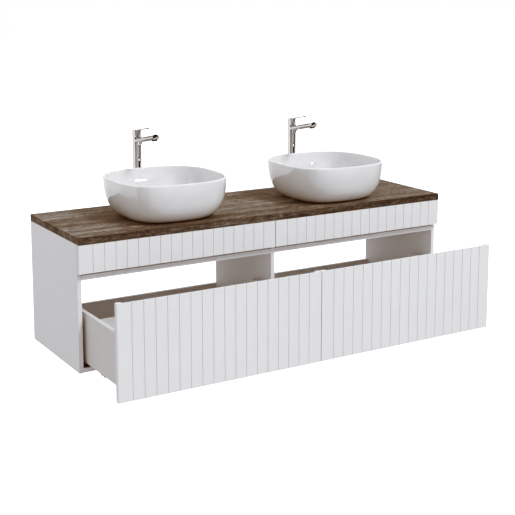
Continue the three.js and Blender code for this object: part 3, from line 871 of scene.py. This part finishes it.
def tap_body():
    low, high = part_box("left_tap_body")
    centre = Vector(((low.x + high.x) / 2, high.y - TAP_FOOT, 0))
    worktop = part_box("worktop")[1].z
    joint = worktop + TAP_JOINT
    foot, shank = TAP_FOOT, TAP_SHANK
    body = turned("left_tap_body_fine", [
        (0, low.z), (shank - MM, low.z), (shank, low.z + MM), (shank, worktop + 0.3 * MM),
        (foot - 0.6 * MM, worktop + 0.3 * MM), (foot, worktop + MM), (foot, worktop + 3.6 * MM),
        (foot - 0.6 * MM, worktop + 4.8 * MM), (foot - 1.8 * MM, worktop + 5.5 * MM),
        (TAP_RADIUS + 0.6 * MM, worktop + 5.5 * MM), (TAP_RADIUS, worktop + 6.2 * MM),
        (TAP_RADIUS, joint - 0.5 * MM), (TAP_RADIUS - 0.5 * MM, joint), (0, joint),
    ], centre)
    axis_height = worktop + SPOUT_HEIGHT
    combine(body, spout(centre, axis_height), "UNION")
    combine(body, web(centre, axis_height), "UNION")
    combine(body, boring(WELL[0], joint - WELL[1], joint + 20 * MM, centre), "DIFFERENCE")
    pocket = boring(AERATOR_POCKET, -30 * MM, -8 * MM, Vector((0, 0, 0)))
    on_spout(pocket, centre, axis_height)
    combine(body, pocket, "DIFFERENCE")
    round_edges(body, 0.7 * MM, 2, 40)
    return body, centre, axis_height


def on_spout(piece, centre, axis_height):
    """Places a piece drawn about the origin under the end of the tilted spout."""
    piece.rotation_euler = (-SPOUT_RISE, 0, 0)
    height = axis_height + AERATOR_REACH * math.tan(SPOUT_RISE)
    piece.location = centre + Vector((0, -AERATOR_REACH, height))
    settle(piece)


def aerator(centre, axis_height):
    radius, mouth = 10.5 * MM, 8 * MM
    piece = turned("left_tap_aerator_fine", [
        (0, -12 * MM), (2 * MM, -12.6 * MM), (4 * MM, -12 * MM), (6 * MM, -12.6 * MM), (mouth, -12 * MM),
        (mouth, -14.1 * MM), (mouth + 0.4 * MM, -14.5 * MM), (radius - 0.4 * MM, -14.5 * MM),
        (radius, -14.1 * MM), (radius, -8.3 * MM), (0, -8.3 * MM),
    ], Vector((0, 0, 0)), 48)
    on_spout(piece, centre, axis_height)
    smooth(piece)
    return piece


def handle():
    """Cap with a sloping top and a flat lever in one."""
    low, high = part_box("left_tap_handle")
    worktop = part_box("worktop")[1].z
    centre = Vector(((low.x + high.x) / 2, high.y - TAP_RADIUS, 0))
    foot, top = worktop + CAP_FOOT, worktop + CAP_TOP
    cap = turned("left_tap_handle_fine", [
        (0, foot), (TAP_RADIUS - 0.5 * MM, foot), (TAP_RADIUS, foot + 0.5 * MM),
        (TAP_RADIUS, top + 20 * MM), (0, top + 20 * MM),
    ], centre)
    editing(cap)
    bpy.ops.mesh.bisect(
        plane_co=centre + Vector((0, 0, top)), plane_no=(0, math.tan(LEVER_RISE), 1),
        use_fill=True, clear_outer=True,
    )
    done_editing()

    combine(cap, boring(CAP_HOLLOW[0], foot - 5 * MM, worktop + CAP_HOLLOW[1], centre), "DIFFERENCE")
    relief = block("relief", Vector((-30 * MM, 0, -30 * MM)), Vector((30 * MM, 40 * MM, 0)))
    relief.rotation_euler = (CAP_RELIEF, 0, 0)
    relief.location = centre + Vector((0, 0, foot))
    settle(relief)
    combine(cap, relief, "DIFFERENCE")

    half, reach = LEVER_HALF_WIDTH, LEVER_REACH
    lever = block("lever", Vector((-half, -reach, -LEVER_THICK)), Vector((half, 2 * MM, 0)))
    editing(lever)
    for share, width in ((0.55, 10.5 / 11), (0.96, 9 / 11)):
        cut_across((0, -reach * share, 0), (0, 1, 0))
        pick(lever, lambda place: abs(place.y + reach * share) < EDGE)
        bpy.ops.transform.resize(value=(width, 1, 1), center_override=(0, 0, 0))
    pick(lever, lambda place: place.y < -reach + EDGE)
    bpy.ops.transform.resize(value=(6 / 11, 1, 1), center_override=(0, 0, 0))
    done_editing()
    round_edges(lever, 1.6 * MM, 4, 60)
    lever.rotation_euler = (-LEVER_RISE, 0, 0)
    lever.location = centre + Vector((0, 0, top - 0.2 * MM))
    settle(lever)
    combine(cap, lever, "UNION")
    round_edges(cap, 0.5 * MM, 2, 40)
    return cap


def taps():
    body, centre, axis_height = tap_body()
    pieces = {"tap_body": body, "tap_aerator": aerator(centre, axis_height), "tap_handle": handle()}
    for node, piece in pieces.items():
        stand_for_both(piece, node)


# ------------------------------------------------------------------ camera, floor and light
def camera():
    lens, yaw, pitch = 78.42, math.radians(31.08), math.radians(8.84)
    data = bpy.data.cameras.new("camera")
    data.lens, data.sensor_width, data.shift_y = lens, 36, -0.2
    data.clip_start, data.clip_end = 0.1, 100
    camera = bpy.data.objects.new("camera", data)
    bpy.context.collection.objects.link(camera)
    camera.location = (-2.2176, -4.0248, 0.9914)
    camera.rotation_euler = (math.pi / 2 - pitch, 0, -yaw)
    bpy.context.scene.camera = camera


def floor():
    low = CAD_BOX[0]
    bpy.ops.object.select_all(action="DESELECT")
    bpy.ops.mesh.primitive_plane_add(size=60, location=(0, 0, low.z - FLOOR_DROP))
    plane = bpy.context.object
    plane.name = "floor"
    made, nodes, shader, place = material("pale_floor", 0.9, specular=0.0)
    path = nodes.add("ShaderNodeLightPath")
    tone = nodes.mix(path.outputs["Is Camera Ray"], FLOOR_TONE, (0.9, 0.9, 0.9))
    nodes.link(tone, shader.inputs["Base Color"])
    glow = nodes.mix(path.outputs["Is Camera Ray"], (0, 0, 0), (FLOOR_GLOW,) * 3)
    nodes.link(glow, shader.inputs["Emission Color"])
    shader.inputs["Emission Strength"].default_value = 1.0
    plane.data.materials.append(made)
    plane.visible_glossy = False


def softbox(name, heading, elevation, distance, size, power, mirrored=False):
    """An area light aimed at the vanity. Its heading is in degrees to the right of the front."""
    turn, rise = math.radians(heading), math.radians(elevation)
    away = Vector((math.sin(turn) * math.cos(rise), -math.cos(turn) * math.cos(rise), math.sin(rise)))
    data = bpy.data.lights.new(name, "AREA")
    data.shape, data.size, data.size_y, data.energy = "RECTANGLE", size[0], size[1], power
    light = bpy.data.objects.new(name, data)
    bpy.context.collection.objects.link(light)
    light.location = Vector((0, -0.3, 0)) + distance * away
    light.rotation_euler = away.to_track_quat("Z", "Y").to_euler()
    light.visible_glossy = mirrored


def studio():
    """A high key from the right, a broad fill from the left, and a pale room with screens for gloss."""
    softbox("key", 28, 48, 24.0, (4.5, 4.5), KEY_POWER)
    softbox("left_fill", -104, 50, 6.0, (3.0, 2.4), LEFT_POWER)
    softbox("front_glint", 23, 11, 5.0, (0.42, 0.3), 4, mirrored=True)
    softbox("side_glint", 112, 9, 5.0, (0.42, 0.3), 5, mirrored=True)
    world = bpy.data.worlds.new("studio")
    bpy.context.scene.world = world
    world.use_nodes = True
    nodes = Nodes(world.node_tree)
    background = world.node_tree.nodes["Background"]
    path = nodes.add("ShaderNodeLightPath")
    direction = nodes.add("ShaderNodeTexCoord").outputs["Generated"]
    split = nodes.add("ShaderNodeSeparateXYZ")
    nodes.link(direction, split.inputs[0])
    heading = nodes.math("ARCTAN2", split.outputs["X"], nodes.math("MULTIPLY", split.outputs["Y"], -1))
    turn = nodes.math("DIVIDE", nodes.math("ADD", heading, math.pi), 2 * math.pi)
    level = nodes.ramp(turn, SCREENS_LEVEL)
    above = nodes.ramp(turn, SCREENS_ABOVE)
    climb = nodes.math("ADD", nodes.math("MULTIPLY", split.outputs["Z"], 0.5), 0.5)
    height = nodes.ramp(climb, [(0.525, 0.0), (0.545, 1.0)])
    deep = nodes.ramp(nodes.math("MULTIPLY", split.outputs["Z"], -1), [(0.22, 1.0), (0.45, 0.30)])
    gloss = nodes.mix(height, nodes.mix(1.0, level, deep, "MULTIPLY"), above)
    bright = nodes.mix(1.0, gloss, (GLOSS_LIGHT,) * 3, "MULTIPLY")
    sky = nodes.ramp(split.outputs["Z"], [(0.15, SKY_LOW), (0.75, SKY_HIGH)])
    seen = nodes.mix(path.outputs["Is Glossy Ray"], sky, bright)
    shown = nodes.mix(path.outputs["Is Camera Ray"], seen, (1, 1, 1))
    nodes.link(shown, background.inputs["Color"])


def warm_shadows():
    """A picture grade that leaves light tones neutral and warms the shadows."""
    settings = bpy.context.scene.view_settings
    settings.view_transform = "Standard"
    settings.use_curve_mapping = True
    green = [(0.05, 0.028), (0.10, 0.064), (0.18, 0.146), (0.27, 0.240), (0.38, 0.358), (0.52, 0.515)]
    blue = [(0.05, 0.016), (0.10, 0.041), (0.18, 0.118), (0.27, 0.216), (0.38, 0.342), (0.52, 0.515)]
    curves = settings.curve_mapping.curves
    for curve, points in ((curves[1], green), (curves[2], blue)):
        for light, graded in points:
            curve.points.new(light, graded)
    settings.curve_mapping.update()


camera()
carcass()
fronts()
drawer_boxes()
fittings()
wall_rail()
basins()
wastes()
taps()
floor()
studio()
warm_shadows()
bpy.ops.object.select_all(action="DESELECT")
